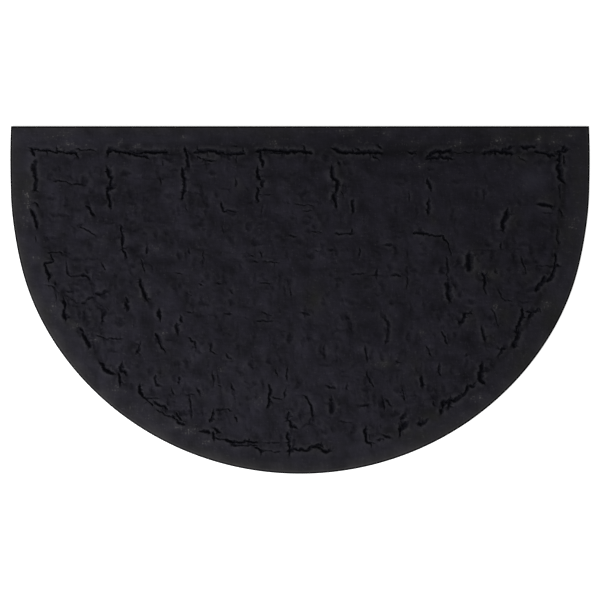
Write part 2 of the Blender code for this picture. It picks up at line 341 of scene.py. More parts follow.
SPOKES = [
    Crease(4.6, 2.6, [(-249, 171), (-244, 158), (-243, 147), (-249, 144), (-247, 130), (-244, 120)]),
    Crease(3.6, 2.2, [(-148, 198), (-145, 183), (-144, 172)]),
    Crease(3.6, 2.2, [(-151, 170), (-149, 152), (-150, 140), (-152, 130)]),
    Crease(2.6, 0.9, [(-148, 124), (-146, 115)]),
    Crease(2.6, 1.0, [(-178, 181), (-178, 174)]),
    Crease(2.6, 1.2, [(-179, 160), (-179, 150)]),
    Crease(2.4, 0.9, [(-82, 187), (-82, 179)]),
    Crease(2.4, 0.9, [(-82, 157), (-82, 147)]),
    Crease(3.6, 2.2, [(-51, 192), (-50, 182), (-48, 173)]),
    Crease(4.0, 2.2, [(-54, 171), (-54, 157)]),
    Crease(3.6, 2.0, [(-48, 156), (-49, 146)]),
    Crease(3.2, 1.8, [(-54, 146), (-55, 127)]),
    Crease(2.4, 0.9, [(-49, 122), (-49, 112)]),
    Crease(2.0, 0.8, [(-46, 137), (-37, 137)]),
    Crease(4.0, 1.4, [(49, 179), (51, 176)]),
    Crease(4.2, 2.4, [(42, 173), (42, 160), (49, 152), (45, 132), (47, 120)]),
    Crease(2.6, 1.4, [(54, 141), (56, 134)]),
    Crease(3.2, 1.6, [(69, 131), (69, 113)]),
    Crease(3.2, 1.8, [(166, 157), (169, 143)]),
    Crease(3.4, 2.0, [(167, 130), (167, 112)]),
    Crease(2.6, 1.0, [(141, 139), (142, 130)]),
    Crease(4.6, 0.9, [(239, 145), (239, 131)]),
    Crease(4.8, 2.4, [(270, 118), (267, 107), (263, 100), (263, 89)]),
    Crease(4.0, 2.2, [(308, 124), (327, 122)]),
    Crease(2.2, 0.8, [(315, 114), (327, 113)]),
]

LEFT_FIELD = [
    Crease(2.2, 1.2, [(-317, 154), (-302, 155), (-295, 149), (-276, 150)]),
    Crease(3.0, 1.6, [(-277, 123), (-266, 110)]),
    Crease(2.2, 1.2, [(-285, 94), (-279, 94), (-266, 84)]),
    Crease(3.6, 2.2, [(-231, 96), (-229, 80), (-230, 68), (-224, 54)]),
    Crease(2.2, 1.2, [(-205, 53), (-201, 37)]),
    Crease(3.8, 2.2, [(-207, 28), (-206, 20), (-201, 11), (-198, 0)]),
    Crease(5.0, 2.4, [(-200, 8), (-198, 1)]),
    Crease(3.0, 1.4, [(-196, 71), (-197, 60)]),
    Crease(4.6, 2.0, [(-224, 4), (-223, -12)]),
    Crease(3.8, 1.6, [(-251, -13), (-254, -22), (-256, -28)]),
    Crease(4.4, 2.4, [(-182, -13), (-181, -26)]),
    Crease(4.0, 1.8, [(-159, -29), (-158, -43)]),
    Crease(3.0, 1.4, [(-154, -21), (-151, -27)]),
    Crease(2.2, 1.2, [(-262, -45), (-250, -50), (-230, -50)]),
    Crease(3.4, 1.6, [(-205, -55), (-210, -68)]),
    Crease(3.6, 1.8, [(-186, -43), (-180, -56), (-173, -67)]),
    Crease(3.0, 1.4, [(-143, -49), (-136, -54), (-133, -62)]),
    Crease(2.6, 1.0, [(-301, 49), (-300, 34), (-294, 31)]),
    Crease(2.2, 0.7, [(-294, 31), (-282, 33)]),
    Crease(3.4, 1.6, [(-282, 33), (-277, 31), (-270, 27)]),
    Crease(2.4, 1.0, [(-325, 20), (-320, 17), (-312, 11)]),
    Crease(2.6, 0.9, [(-303, 12), (-292, 11)]),
    Crease(2.6, 0.7, [(-303, 7), (-298, 5), (-289, -3), (-285, -2)]),
    Crease(3.0, 1.4, [(-316, 25), (-315, 19)]),
    Crease(3.0, 1.4, [(-255, 47), (-251, 39)]),
    Crease(3.6, 1.5, [(-264, 9), (-255, 9), (-248, 13)]),
    Crease(3.2, 1.4, [(-281, -5), (-275, 2), (-267, 4)]),
    Crease(4.0, 1.4, [(-129, 22), (-126, 20)]),
    Crease(2.4, 1.0, [(-146, 10), (-140, 7)]),
    Crease(2.4, 1.0, [(-159, 36), (-153, 34)]),
    Crease(2.4, 1.0, [(-144, 66), (-142, 60)]),
    Crease(2.4, 1.0, [(-145, -15), (-137, -15)]),
    Crease(2.4, 0.8, [(-125, 63), (-124, 47)]),
]

RIGHT_FIELD = [
    Crease(3.2, 1.8, [(146, 86), (157, 87), (166, 85)]),
    Crease(2.2, 1.4, [(166, 84), (185, 83), (191, 73), (195, 60)]),
    Crease(3.0, 1.0, [(190, 56), (191, 40), (191, 26)]),
    Crease(6.4, 2.8, [(191, 23), (193, 10), (195, -1)]),
    Crease(6.0, 2.6, [(219, 60), (219, 39)]),
    Crease(3.2, 2.0, [(235, 35), (239, 30), (242, 35)]),
    Crease(3.4, 2.2, [(239, 32), (238, 17)]),
    Crease(2.2, 1.0, [(238, 17), (240, 9)]),
    Crease(1.9, 0.3, [(221, 65), (250, 65), (285, 67)]),
    Crease(3.0, 1.3, [(260, 74), (260, 66)]),
    Crease(3.6, 1.2, [(253, 40), (255, 36)]),
    Crease(2.4, 1.2, [(287, 56), (292, 34)]),
    Crease(2.4, 0.8, [(258, 12), (264, -1), (273, -1)]),
    Crease(2.2, 0.5, [(283, 0), (290, -4), (303, 0)]),
    Crease(4.0, 2.0, [(222, -13), (214, -19), (207, -31)]),
    Crease(2.4, 1.2, [(250, -12), (256, -35)]),
    Crease(3.2, 1.6, [(234, -35), (240, -52)]),
    Crease(2.8, 1.4, [(184, -40), (190, -57)]),
    Crease(4.4, 1.4, [(214, -71), (216, -69)]),
    Crease(2.4, 1.2, [(164, -60), (169, -71)]),
    Crease(2.6, 0.9, [(139, 31), (139, 16)]),
    Crease(3.0, 1.2, [(120, 33), (131, 32)]),
    Crease(2.6, 1.2, [(110, 72), (120, 72)]),
    Crease(3.0, 1.4, [(124, -80), (130, -80)]),
    Crease(3.2, 1.6, [(132, -115), (136, -129)]),
    Crease(4.2, 2.2, [(157, -99), (158, -112)]),
    Crease(3.2, 1.6, [(181, -84), (181, -98)]),
    Crease(3.2, 1.4, [(172, -131), (176, -137)]),
]

MIDDLE_FIELD = [
    Crease(2.6, 1.4, [(-102, 127), (-99, 116), (-81, 115)]),
    Crease(1.8, 0.9, [(-4, 124), (17, 122)]),
    Crease(1.8, 0.9, [(5, 115), (15, 115)]),
    Crease(2.4, 1.0, [(-101, 94), (-99, 87)]),
    Crease(2.4, 1.0, [(-12, 84), (-5, 82)]),
    Crease(2.2, 1.0, [(15, 90), (28, 87)]),
    Crease(2.8, 1.4, [(47, 86), (68, 86), (67, 92)]),
    Crease(2.8, 1.6, [(-46, 50), (-29, 49)]),
    Crease(3.6, 1.4, [(-60, 50), (-56, 50)]),
    Crease(3.0, 1.2, [(-64, 58), (-60, 57)]),
    Crease(2.4, 1.2, [(-50, 63), (-50, 56)]),
    Crease(2.8, 1.2, [(77, 67), (77, 57)]),
    Crease(3.0, 1.0, [(20, 64), (25, 64)]),
    Crease(2.8, 1.0, [(39, 66), (43, 65)]),
    Crease(2.6, 1.2, [(68, 34), (83, 34)]),
    Crease(3.2, 1.6, [(90, 33), (101, 32)]),
    Crease(3.0, 1.4, [(99, 40), (99, 30)]),
    Crease(3.0, 1.2, [(-107, 22), (-101, 22)]),
    Crease(3.2, 1.2, [(-90, 12), (-87, 10)]),
    Crease(2.6, 1.0, [(-48, 22), (-38, 22)]),
    Crease(3.2, 1.2, [(-12, 12), (-12, 6)]),
    Crease(2.8, 1.2, [(-98, -16), (-89, -17)]),
    Crease(2.8, 1.2, [(-47, -16), (-37, -20)]),
    Crease(4.2, 1.4, [(3, -15), (13, -19)]),
    Crease(2.4, 1.0, [(-57, -27), (-35, -27)]),
    Crease(5.6, 1.0, [(61, -20), (64, -24)]),
    Crease(6.0, 1.0, [(66, -28), (68, -38)]),
    Crease(4.0, 1.2, [(110, -20), (115, -32), (112, -56)]),
    Crease(4.2, 1.0, [(32, -59), (32, -73)]),
    Crease(3.2, 1.4, [(85, -61), (88, -78)]),
    Crease(3.0, 1.4, [(-115, -55), (-115, -67), (-109, -70)]),
    Crease(2.8, 1.2, [(-95, -69), (-89, -77)]),
]

LOWER_FIELD = [
    Crease(2.8, 1.4, [(-187, -97), (-185, -109), (-180, -110)]),
    Crease(3.2, 1.4, [(-156, -99), (-156, -108)]),
    Crease(2.8, 1.2, [(-166, -114), (-162, -121)]),
    Crease(3.0, 1.2, [(-145, -122), (-138, -122)]),
    Crease(3.8, 1.4, [(-132, -115), (-129, -122)]),
    Crease(2.4, 1.1, [(-141, -123), (-141, -137), (-140, -151)]),
    Crease(2.8, 1.2, [(-107, -141), (-87, -142)]),
    Crease(3.0, 1.4, [(-83, -150), (-81, -157)]),
    Crease(3.8, 1.6, [(-39, -109), (-36, -120)]),
    Crease(4.2, 2.4, [(-38, -120), (-41, -138)]),
    Crease(2.8, 1.2, [(-36, -126), (-25, -128)]),
    Crease(3.0, 1.2, [(-17, -115), (-21, -126)]),
    Crease(2.8, 1.2, [(-16, -87), (-16, -101)]),
    Crease(2.6, 1.0, [(-33, -90), (-29, -97)]),
    Crease(3.4, 1.6, [(7, -124), (14, -136), (16, -151)]),
    Crease(3.0, 0.8, [(16, -151), (12, -160), (4, -163)]),
    Crease(5.4, 1.8, [(41, -126), (42, -146)]),
    Crease(4.0, 1.4, [(36, -110), (46, -114)]),
    Crease(4.0, 1.2, [(61, -109), (61, -116)]),
    Crease(3.2, 1.4, [(86, -92), (91, -102), (96, -111)]),
    Crease(3.6, 1.4, [(78, -136), (91, -135)]),
    Crease(3.6, 1.4, [(107, -128), (110, -141)]),
    Crease(3.0, 1.2, [(111, -129), (118, -136)]),
    Crease(2.2, 0.8, [(52, -157), (66, -158)]),
    Crease(3.4, 1.4, [(-89, -110), (-84, -116)]),
    Crease(2.6, 1.2, [(-106, -111), (-101, -111)]),
    Crease(3.0, 1.2, [(-112, -95), (-111, -111)]),
]

PLACED_CREASES = (
    UNDER_STRAIGHT_EDGE + LEFT_RING + BOTTOM_RING + RIGHT_RING + SPOKES
    + LEFT_FIELD + RIGHT_FIELD + MIDDLE_FIELD + LOWER_FIELD
)

# Short shallow creases that fill the field between the placed ones, fewer where the face is calm and
# more where it is busy. Lengths, widths and depths are in millimetres
SMALL_CREASES = 1300
SMALL_LENGTH = (3.5, 12.0)
SMALL_WIDE = (3.0, 6.5)
SMALL_DEEP = (0.2, 0.85)
SMALL_MARGIN = 34 * MM
MOSTLY_WEAK = 1.5

# The share of them that run aslant, and across the mat: more towards the curve, over this height. Each
# turns and bends a little
ASLANT = 0.13
ACROSS = 0.42
MORE_ACROSS = 0.23
MORE_ACROSS_OVER = 160 * MM
TURN_SPREAD = 0.10
BEND = 0.07

Place = namedtuple("Place", "x y long high strength")

# Quiet parts of the face, in millimetres from its middle. long and high are how far each reaches to
# each side
CALM_PLACES = [
    Place(205, 150, 130, 50, 0.75),
    Place(110, 130, 60, 70, 0.5),
    Place(20, 5, 50, 40, 0.35),
    Place(-60, -30, 40, 30, 0.3),
]

Busy = namedtuple("Busy", "x y long high count")

# Crumpled parts of the face, and how many more small creases each has
BUSY_PLACES = [
    Busy(-288, 15, 24, 20, 30),
    Busy(-262, -28, 26, 22, 20),
    Busy(-318, 60, 8, 45, 12),
    Busy(-165, -148, 22, 9, 14),
    Busy(105, -138, 34, 20, 22),
    Busy(150, -105, 26, 22, 12),
    Busy(-20, 58, 60, 14, 12),
    Busy(-105, 188, 28, 6, 6),
    Busy(175, 187, 35, 6, 8),
    Busy(-130, -120, 40, 14, 12),
]

# Where pale dust has caught: on the border above the ring of creases, down the left side, and a few
# lone places
DUSTY_PLACES = [
    Place(-325, 210, 14, 5, 0.7),
    Place(-303, 214, 9, 4, 0.9),
    Place(-301, 201, 10, 3.5, 1.0),
    Place(-311, 195, 3.5, 3.5, 1.2),
    Place(-279, 199, 12, 3.5, 0.5),
    Place(-232, 204, 5, 3.5, 1.0),
    Place(-210, 198, 5, 3.5, 0.8),
    Place(-150, 209, 9, 4, 0.7),
    Place(-34, 203, 7, 4, 0.8),
    Place(60, 217, 13, 4, 0.8),
    Place(72, 206, 6, 3.5, 0.5),
    Place(112, 215, 7, 4, 0.6),
    Place(150, 203, 18, 5, 0.5),
    Place(205, 202, 8, 5, 1.1),
    Place(257, 207, 7, 7, 0.8),
    Place(308, 206, 5, 5, 0.9),
    Place(328, 204, 8, 5, 0.8),
    Place(351, 214, 9, 4, 0.6),
    Place(-353, 131, 4, 16, 1.1),
    Place(-357, 100, 5, 12, 0.5),
    Place(-341, 53, 7, 4, 0.9),
    Place(-318, -10, 6, 5, 0.8),
    Place(-290, -33, 6, 5, 0.9),
    Place(-262, -50, 9, 7, 0.6),
    Place(-238, -116, 10, 6, 0.6),
    Place(-215, -140, 12, 6, 0.5),
    Place(-188, -150, 10, 5, 0.5),
    Place(-163, -163, 13, 6, 0.7),
    Place(-141, -168, 9, 6, 0.7),
    Place(-118, -184, 12, 3.5, 0.8),
    Place(-125, -124, 5, 6, 0.6),
    Place(-101, -89, 5, 4, 0.9),
    Place(-53, -130, 6, 6, 0.6),
    Place(-175, -44, 5, 4, 0.9),
    Place(-185, 66, 4, 4, 0.7),
    Place(-252, 80, 5, 3.5, 0.7),
    Place(157, -42, 3.5, 3.5, 1.3),
    Place(157, 174, 6, 3.5, 0.7),
    Place(229, -125, 8, 5, 0.8),
    Place(252, -8, 5, 5, 0.7),
    Place(317, -6, 5, 5, 1.1),
    Place(353, 97, 7, 8, 0.7),
    Place(252, 104, 5, 6, 0.5),
    Place(230, 31, 6, 9, 0.6),
    Place(107, -83, 13, 3.5, 0.8),
]

# Where a thin olive film has dried on the rubber, most often beside a deep crease
FILMY_PLACES = [
    Place(-350, 150, 12, 22, 0.8),
    Place(-327, 47, 9, 10, 0.7),
    Place(-328, -16, 8, 11, 0.8),
    Place(-298, -29, 8, 5, 0.7),
    Place(-203, 5, 9, 10, 0.6),
    Place(-179, -95, 7, 8, 0.6),
    Place(-116, 184, 13, 7, 0.6),
    Place(-80, 148, 7, 10, 0.6),
    Place(-100, -120, 7, 5, 0.6),
    Place(-30, 213, 30, 7, 0.5),
    Place(18, 2, 13, 20, 0.9),
    Place(22, -192, 18, 7, 0.8),
    Place(50, 160, 6, 22, 0.6),
    Place(108, -82, 12, 6, 0.8),
    Place(148, -88, 9, 17, 0.7),
    Place(172, 103, 6, 9, 0.6),
    Place(172, -152, 18, 9, 0.9),
    Place(222, -24, 10, 10, 0.8),
    Place(225, 47, 9, 18, 0.9),
    Place(245, -49, 9, 8, 0.8),
    Place(248, 32, 14, 10, 0.9),
    Place(266, -22, 11, 13, 0.8),
    Place(277, 104, 9, 13, 0.7),
    Place(287, 181, 11, 9, 0.7),
    Place(294, 32, 8, 10, 0.7),
    Place(300, 212, 55, 9, 0.9),
    Place(323, 129, 12, 9, 0.8),
    Place(348, 80, 16, 30, 0.7),
    Place(328, -20, 18, 30, 0.9),
    Place(290, -82, 18, 26, 0.8),
    Place(362, 150, 13, 55, 0.8),
    Place(-364, 150, 10, 45, 0.7),
    Place(150, -174, 38, 11, 0.8),
]

# Where the rubber is a little paler than around
PALE_PLACES = [
    Place(301, 155, 18, 14, 1.7),
    Place(-210, 207, 130, 6, 0.6),
    Place(-262, 168, 70, 16, 0.35),
    Place(366, 110, 9, 90, 1.2),
    Place(345, 10, 18, 42, 0.9),
    Place(348, 213, 26, 10, 0.6),
    Place(-345, 185, 32, 40, 0.9),
    Place(-362, 207, 16, 18, 1.1),
    Place(-285, -9, 14, 16, 0.5),
    Place(-138, -69, 32, 16, 0.5),
    Place(-17, -155, 28, 14, 0.5),
    Place(146, -104, 22, 22, 0.4),
    Place(-248, -55, 17, 9, 0.8),
    Place(-198, -112, 22, 10, 0.6),
    Place(-69, -164, 40, 9, 0.8),
    Place(78, -178, 40, 9, 0.6),
    Place(-60, -120, 130, 45, 0.4),
]
# Where the face is painted a little darker than around: painted shade along the ring of creases under the
# straight edge and beside some spokes, and plain darker patches elsewhere
DARK_AND_SHADED_PLACES = [
    Place(70, 194, 240, 15, 1.9),
    Place(-50, 198, 110, 6, 2.2),
    Place(190, 198, 160, 6, 2.4),
    Place(85, 178, 75, 10, 1.1),
    Place(62, 160, 14, 34, 0.9),
    Place(-45, 165, 12, 30, 0.8),
    Place(245, 70, 45, 38, 0.95),
    Place(95, -30, 50, 17, 0.9),
    Place(-98, -216, 85, 15, 1.6),
    Place(-195, -176, 60, 15, 0.5),
    Place(235, -85, 40, 40, 0.6),
    Place(194, -130, 34, 18, 0.9),
    Place(335, 125, 9, 60, 0.6),
    Place(-238, 150, 10, 26, 0.6),
    Place(-118, 194, 18, 9, 0.8),
    Place(-240, 189, 75, 8, 0.7),
    Place(-87, 61, 22, 16, 0.5),
    Place(-235, 15, 24, 45, 0.4),
    Place(216, 61, 18, 24, 0.7),
    Place(-70, 75, 100, 50, 0.3),
    Place(-363, 130, 9, 32, 0.7),
    Place(300, -92, 20, 34, 0.5),
]

# The attribute that each table of places gives the face
PLACES = {
    "calm": CALM_PLACES,
    "dust": DUSTY_PLACES,
    "film": FILMY_PLACES,
    "paler": PALE_PLACES,
    "darker": DARK_AND_SHADED_PLACES,
}


def linear(hex_colour):
    """An sRGB hex colour as linear RGBA, by the sRGB curve."""
    parts = np.array([int(hex_colour[i:i + 2], 16) for i in (1, 3, 5)]) / 255
    low = parts / 12.92
    high = ((parts + 0.055) / 1.055) ** 2.4
    return (*np.where(parts <= 0.04045, low, high), 1.0)


def smooth_step(t):
    t = np.clip(t, 0, 1)
    return t * t * (3 - 2 * t)


def narrowing(y):
    """How much narrower than straight sides and half an ellipse the mat is at this height, as a
    factor: a soft waist below the sides, and a draw that grows as a square towards the corners."""
    waist = WAIST_DRAW * np.exp(-(((y - WAIST_Y) / WAIST_REACH) ** 2))
    up = np.clip((y - CORNER_FROM) / (STRAIGHT_EDGE_Y - CORNER_FROM), 0, 1)
    return 1 - (waist + CORNER_DRAW * up**2) / SIDE_X


def outline(inset):
    """The mat's outline this far in from its edge: straight runs, then half an ellipse, anticlockwise,
    narrowed by its height."""
    half = SIDE_X - inset
    top = STRAIGHT_EDGE_Y - inset
    across = np.linspace(half, -half, EDGE_POINTS, endpoint=False)
    down = np.linspace(top, CURVE_Y, SIDE_POINTS, endpoint=False)
    turn = np.linspace(np.pi, 2 * np.pi, CURVE_POINTS, endpoint=False)
    up = np.linspace(CURVE_Y, top, SIDE_POINTS, endpoint=False)
    curve = np.column_stack([half * np.cos(turn), CURVE_Y + (CURVE_DROP - inset) * np.sin(turn)])
    points = np.concatenate(
        [
            np.column_stack([across, np.full(len(across), top)]),
            np.column_stack([np.full(len(down), -half), down]),
            curve,
            np.column_stack([np.full(len(up), half), up]),
        ]
    )
    points[:, 0] *= narrowing(points[:, 1])
    return points


def ways_out(points):
    """How far each point lies in from the mat's sides and curve, along its way out from the curve's
    centre, and from the straight edge."""
    x, y = points[:, 0] / narrowing(points[:, 1]), points[:, 1]
    below = np.minimum(y - CURVE_Y, 0)
    reach = np.hypot(x, below)
    share = np.hypot(x / SIDE_X, below / CURVE_DROP)
    off_middle = share > 0
    to_side = np.full(len(points), SIDE_X)
    to_side[off_middle] = reach[off_middle] * (1 / share[off_middle] - 1)
    return to_side, STRAIGHT_EDGE_Y - y


def inside_edge(points):
    """How far each point lies in from the mat's edge."""
    return np.minimum(*ways_out(points))


def rounded_inside_edge(points):
    """The same for points on the face, blended so that no line runs in from the corners."""
    to_side, to_top = ways_out(points)
    return (to_side**-CORNER_BLEND + to_top**-CORNER_BLEND) ** (-1 / CORNER_BLEND)


def in_places(points, places):
    """How strongly each point lies in a table's places: a bell over each, the strongest of them."""
    most = np.zeros(len(points))
    for place in places:
        x = (points[:, 0] / MM - place.x) / place.long
        y = (points[:, 1] / MM - place.y) / place.high
        most = np.maximum(most, place.strength * np.exp(-(x**2 + y**2)))
    return most


def uneven_line(along, length, rng, sudden=1.0):
    """A random line from -1 to 1: random values this length apart, held and then joined the more
    suddenly, the larger sudden is."""
    knots = rng.uniform(-1, 1, int(along[-1] / length) + 3)
    place = along / length
    left = place.astype(int)
    blend = smooth_step((place - left - 0.5) * sudden + 0.5)
    return knots[left] * (1 - blend) + knots[left + 1] * blend


def uneven_field(points, wide, high, rng):
    """A smooth random field: random values on a wide by high lattice, blended smoothly between."""
    place = (points - [LOW[0], LOW[1]]) / [wide, high] + 1
    size = place.max(axis=0).astype(int) + 3
    lattice = rng.standard_normal(size)
    corner = place.astype(int)
    blend = smooth_step(place - corner)
    i, j = corner.T
    u, v = blend.T
    near = lattice[i, j] * (1 - u) + lattice[i + 1, j] * u
    far = lattice[i, j + 1] * (1 - u) + lattice[i + 1, j + 1] * u
    return near * (1 - v) + far * v


Laid = namedtuple("Laid", "line left half deep lean step")


def lay_crease(crease, rng):
    """Carries a crease along its path: stations a little apart, each jogged to one side, with its
    own width and depth there, and both ends drawn to a point."""
    corners = np.array(crease.path) * MM
    runs = np.linalg.norm(np.diff(corners, axis=0), axis=1)
    reach = np.concatenate([[0], np.cumsum(runs)])
    stations = max(LEAST_STATIONS, round(reach[-1] / STATION) + 1)
    along = np.linspace(0, reach[-1], stations)
    line = np.column_stack([np.interp(along, reach, corners[:, k]) for k in (0, 1)])
    heading = np.gradient(line, axis=0)
    heading /= np.linalg.norm(heading, axis=1)[:, None]
    left = np.column_stack([-heading[:, 1], heading[:, 0]])
    wide = crease.wide * MM
    from_end = np.minimum(along, reach[-1] - along)
    taper = np.minimum(1, (from_end + POINT_START * wide) / (POINT_LENGTH * wide)) ** POINT_CURVE
    jog = JOG * uneven_line(along, JOG_LENGTH, rng, JOG_SUDDEN)
    jog += FINE_JOG * uneven_line(along, FINE_JOG_LENGTH, rng)
    swell = SWELL * uneven_line(along, SWELL_LENGTH, rng)
    swell += FINE_SWELL * uneven_line(along, FINE_SWELL_LENGTH, rng)
    half = wide / 2 * taper * (1 + swell)
    deep = crease.deep * MM * taper * (1 + DEPTH_SWELL * swell)
    lean = LEAN * rng.uniform(-1, 1)
    step = rng.choice([-1, 1]) * min(1, crease.deep / FULL_DEEP)
    return Laid(line + left * jog[:, None], left, half, deep, lean, step)


def side_ticks(creases, rng):
    """Short creases that leave the deeper ones at a steep angle, each starting somewhere along one."""
    found = []
    for crease in creases:
        if crease.deep < TICK_FROM_DEEP:
            continue
        corners = np.array(crease.path, float)
        runs = np.linalg.norm(np.diff(corners, axis=0), axis=1)
        reach = np.concatenate([[0], np.cumsum(runs)])
        for place in rng.uniform(0, reach[-1], round(reach[-1] / TICK_EVERY)):
            run = np.searchsorted(reach, place) - 1
            heading = (corners[run + 1] - corners[run]) / runs[run]
            start = corners[run] + heading * (place - reach[run])
            turn = rng.choice([-1, 1]) * rng.uniform(*TICK_TURN)
            way = [heading @ [np.cos(turn), -np.sin(turn)], heading @ [np.sin(turn), np.cos(turn)]]
            end = start + np.array(way) * rng.uniform(*TICK_LENGTH)
            share = rng.uniform(*TICK_SHARE)
            found.append(Crease(share * crease.wide, share * crease.deep, [start.tolist(), end.tolist()]))
    return found


def strewn_middles(rng):
    """Where the small creases lie: evenly over the field, but fewer in the calm places, and more in
    the busy ones."""
    even = rng.uniform([LOW[0], LOW[1]], [HIGH[0], HIGH[1]], (SMALL_CREASES, 2))
    even = even[rng.random(len(even)) > in_places(even, CALM_PLACES)]
    busy = [
        MM * (np.array([row.x, row.y]) + rng.normal(0, 1, (row.count, 2)) * [row.long, row.high])
        for row in BUSY_PLACES
    ]
    middles = np.concatenate([even, *busy])
    return middles[inside_edge(middles) > SMALL_MARGIN]


def small_creases(rng):
    """Short creases strewn over the field. Most run along or across the mat, as the cloth's threads
    did, more of them across it towards the curve, and they are weaker in the calm places."""
    middles = strewn_middles(rng)
    found = []
    for middle, calm in zip(middles, in_places(middles, CALM_PLACES)):
        across = ACROSS + MORE_ACROSS * smooth_step(0.5 - middle[1] / MORE_ACROSS_OVER)
        kinds = [0, np.pi / 2, rng.uniform(0, np.pi)]
        turn = rng.choice(kinds, p=[1 - ASLANT - across, across, ASLANT])
        turn += rng.normal(0, TURN_SPREAD)
        length = rng.uniform(*SMALL_LENGTH)
        ends = np.outer([-0.5, 0, 0.5], [np.cos(turn), np.sin(turn)]) * length
        ends[1] += rng.normal(0, BEND, 2) * length
        path = middle / MM + ends
        strength = rng.random() ** MOSTLY_WEAK * (1 - CALMING * calm)
        wide = SMALL_WIDE[0] + (SMALL_WIDE[1] - SMALL_WIDE[0]) * strength
        deep = SMALL_DEEP[0] + (SMALL_DEEP[1] - SMALL_DEEP[0]) * strength
        found.append(Crease(wide, deep, path.tolist()))
    return found


def near_crease(points, laid):
    """For points near a crease: their distance from it, to its left, and its half width and depth
    there."""
    start, step = laid.line[:-1], np.diff(laid.line, axis=0)
    offset = points[:, None] - start
    share = np.clip((offset * step).sum(2) / (step * step).sum(1), 0, 1)
    away = offset - share[:, :, None] * step
    distance = np.linalg.norm(away, axis=2)
    nearest = distance.argmin(axis=1)
    rows = np.arange(len(points))
    side = np.sign((away[rows, nearest] * laid.left[nearest]).sum(1))
    place = nearest + share[rows, nearest]
    stations = np.arange(len(laid.line))
    half = np.interp(place, stations, laid.half)
    deep = np.interp(place, stations, laid.deep)
    return side * distance[rows, nearest], half, deep


def crease_relief(points, laid_creases):
    """The creases' part of the face's height, and how far each point lies in a crease, in the soft
    shade beside one and on its lip, from 0 to 1. Across a crease: a V that leans to one side, a low
    lip on both sides, and one side a step higher."""
    cut = np.zeros(len(points))
    lip = np.zeros(len(points))
    step = np.zeros(len(points))
    shade = np.zeros(len(points))
    halo = np.zeros(len(points))
    for laid in laid_creases:
        reach = FADED * STEP_REACH * abs(laid.step) + laid.half.max() * FADED
        low, high = laid.line.min(axis=0) - reach, laid.line.max(axis=0) + reach
        near = np.flatnonzero(((points > low) & (points < high)).all(axis=1))
        distance, half, deep = near_crease(points[near], laid)
        across = distance / half
        strength = np.minimum(1, deep / (FULL_DEEP * MM))
        darkness = strength**SHALLOW_STAYS_DARK
        wall = np.where(across > laid.lean, (1 - across) / (1 - laid.lean), (1 + across) / (1 + laid.lean))
        groove = np.clip(wall, 0, 1) ** WALL_CURVE
        rise = strength * np.exp(-(((np.abs(across) - LIP_PLACE) / LIP_WIDTH) ** 2))
        fade = np.exp(-((distance / STEP_REACH) ** 2))
        cut[near] = np.maximum(cut[near], deep * groove)
        lip[near] = np.maximum(lip[near], rise)
        step[near] += STEP_LIFT * laid.step * (deep / (FULL_DEEP * MM)) * np.tanh(across) * fade
        within = np.clip(1 - np.abs(across) / SHADE_REACH, 0, 1)
        shade[near] = np.maximum(shade[near], within * darkness)
        beside = np.exp(-((distance / HALO_REACH) ** 2))
        halo[near] = np.maximum(halo[near], beside * strength)
    lip[cut > 0] = 0
    return step + LIP_LIFT * lip - cut, shade, halo, lip


def crumple(points, rng):
    """Unevenness of the field: broad swells, then smaller puckers drawn out along and across, then
    thin valleys where a random field passes through zero, all but the broad swells weaker in the
    calm places."""
    broad = BROAD_LIFT * uneven_field(points, *BROAD_CELL, rng)
    pucker = PUCKER_LIFT * sum(uneven_field(points, *cell, rng) for cell in PUCKER_CELLS)
    fine = FINE_LIFT * sum(uneven_field(points, *cell, rng) for cell in FINE_CELLS)
    valleys = np.zeros(len(points))
    for cell in VALLEY_CELLS:
        fold = np.exp(-((uneven_field(points, *cell, rng) / VALLEY_WIDTH) ** 2))
        patchy = smooth_step(uneven_field(points, *PATCH_CELL, rng) + PATCH_SHIFT)
        valleys = np.maximum(valleys, fold * patchy)
    lively = 1 - CALMING * np.minimum(1, in_places(points, CALM_PLACES))
    return MM * (broad + lively * (pucker + fine - VALLEY_DEEP * valleys)), valleys * lively


def thinned(points, spacing, keep=0):
    """One point for each square cell of this spacing, the first of them. The first keep points are
    all kept."""
    cells = np.round(points / spacing).astype(np.int64)
    _, first = np.unique(cells, axis=0, return_index=True)
    chosen = np.zeros(len(points), bool)
    chosen[first] = True
    chosen[:keep] = True
    return points[chosen]


def away_from(points, others, room):
    """The points whose cell of this size, and the cells beside it, hold none of the others."""
    origin = np.array([LOW[0], LOW[1]]) - 2 * room
    size = (np.array([HIGH[0], HIGH[1]]) - origin) / room + 4
    taken = np.zeros(size.astype(int), bool)
    i, j = ((others - origin) / room).astype(int).T
    for di in (-1, 0, 1):
        for dj in (-1, 0, 1):
            taken[i + di, j + dj] = True
    i, j = ((points - origin) / room).astype(int).T
    return points[~taken[i, j]]


def face_points(laid_creases):
    """The face's points, seen from above: the rim, then rows carried along every crease, then grids
    over the field and the border where no crease runs."""
    rim = outline(TOP_ROUND)
    carried = [
        laid.line + laid.left * ((laid.lean if row == 0 else row) * laid.half)[:, None]
        for laid in laid_creases
        for row in (DEEP_ROWS if laid.deep.max() > DEEP_FROM else SHALLOW_ROWS)
    ]
    carried = np.concatenate(carried)
    carried = carried[inside_edge(carried) > TOP_ROUND + CREASE_ROOM]
    grids = []
    to_middle = np.inf
    for step, low, high in (
        (FIELD_STEP, BORDER, to_middle),
        (BORDER_STEP, TOP_ROUND + RIM_ROOM, BORDER),
    ):
        columns = np.arange(LOW[0], HIGH[0], step)
        lines = np.arange(LOW[1], HIGH[1], step)
        grid = np.stack(np.meshgrid(columns, lines), axis=-1).reshape(-1, 2)
        depth = inside_edge(grid)
        grids.append(away_from(grid[(depth > low) & (depth <= high)], carried, CREASE_ROOM))
    grids = np.concatenate(grids)
    return thinned(np.concatenate([rim, carried, grids]), CLOSEST, keep=len(rim)), len(rim)


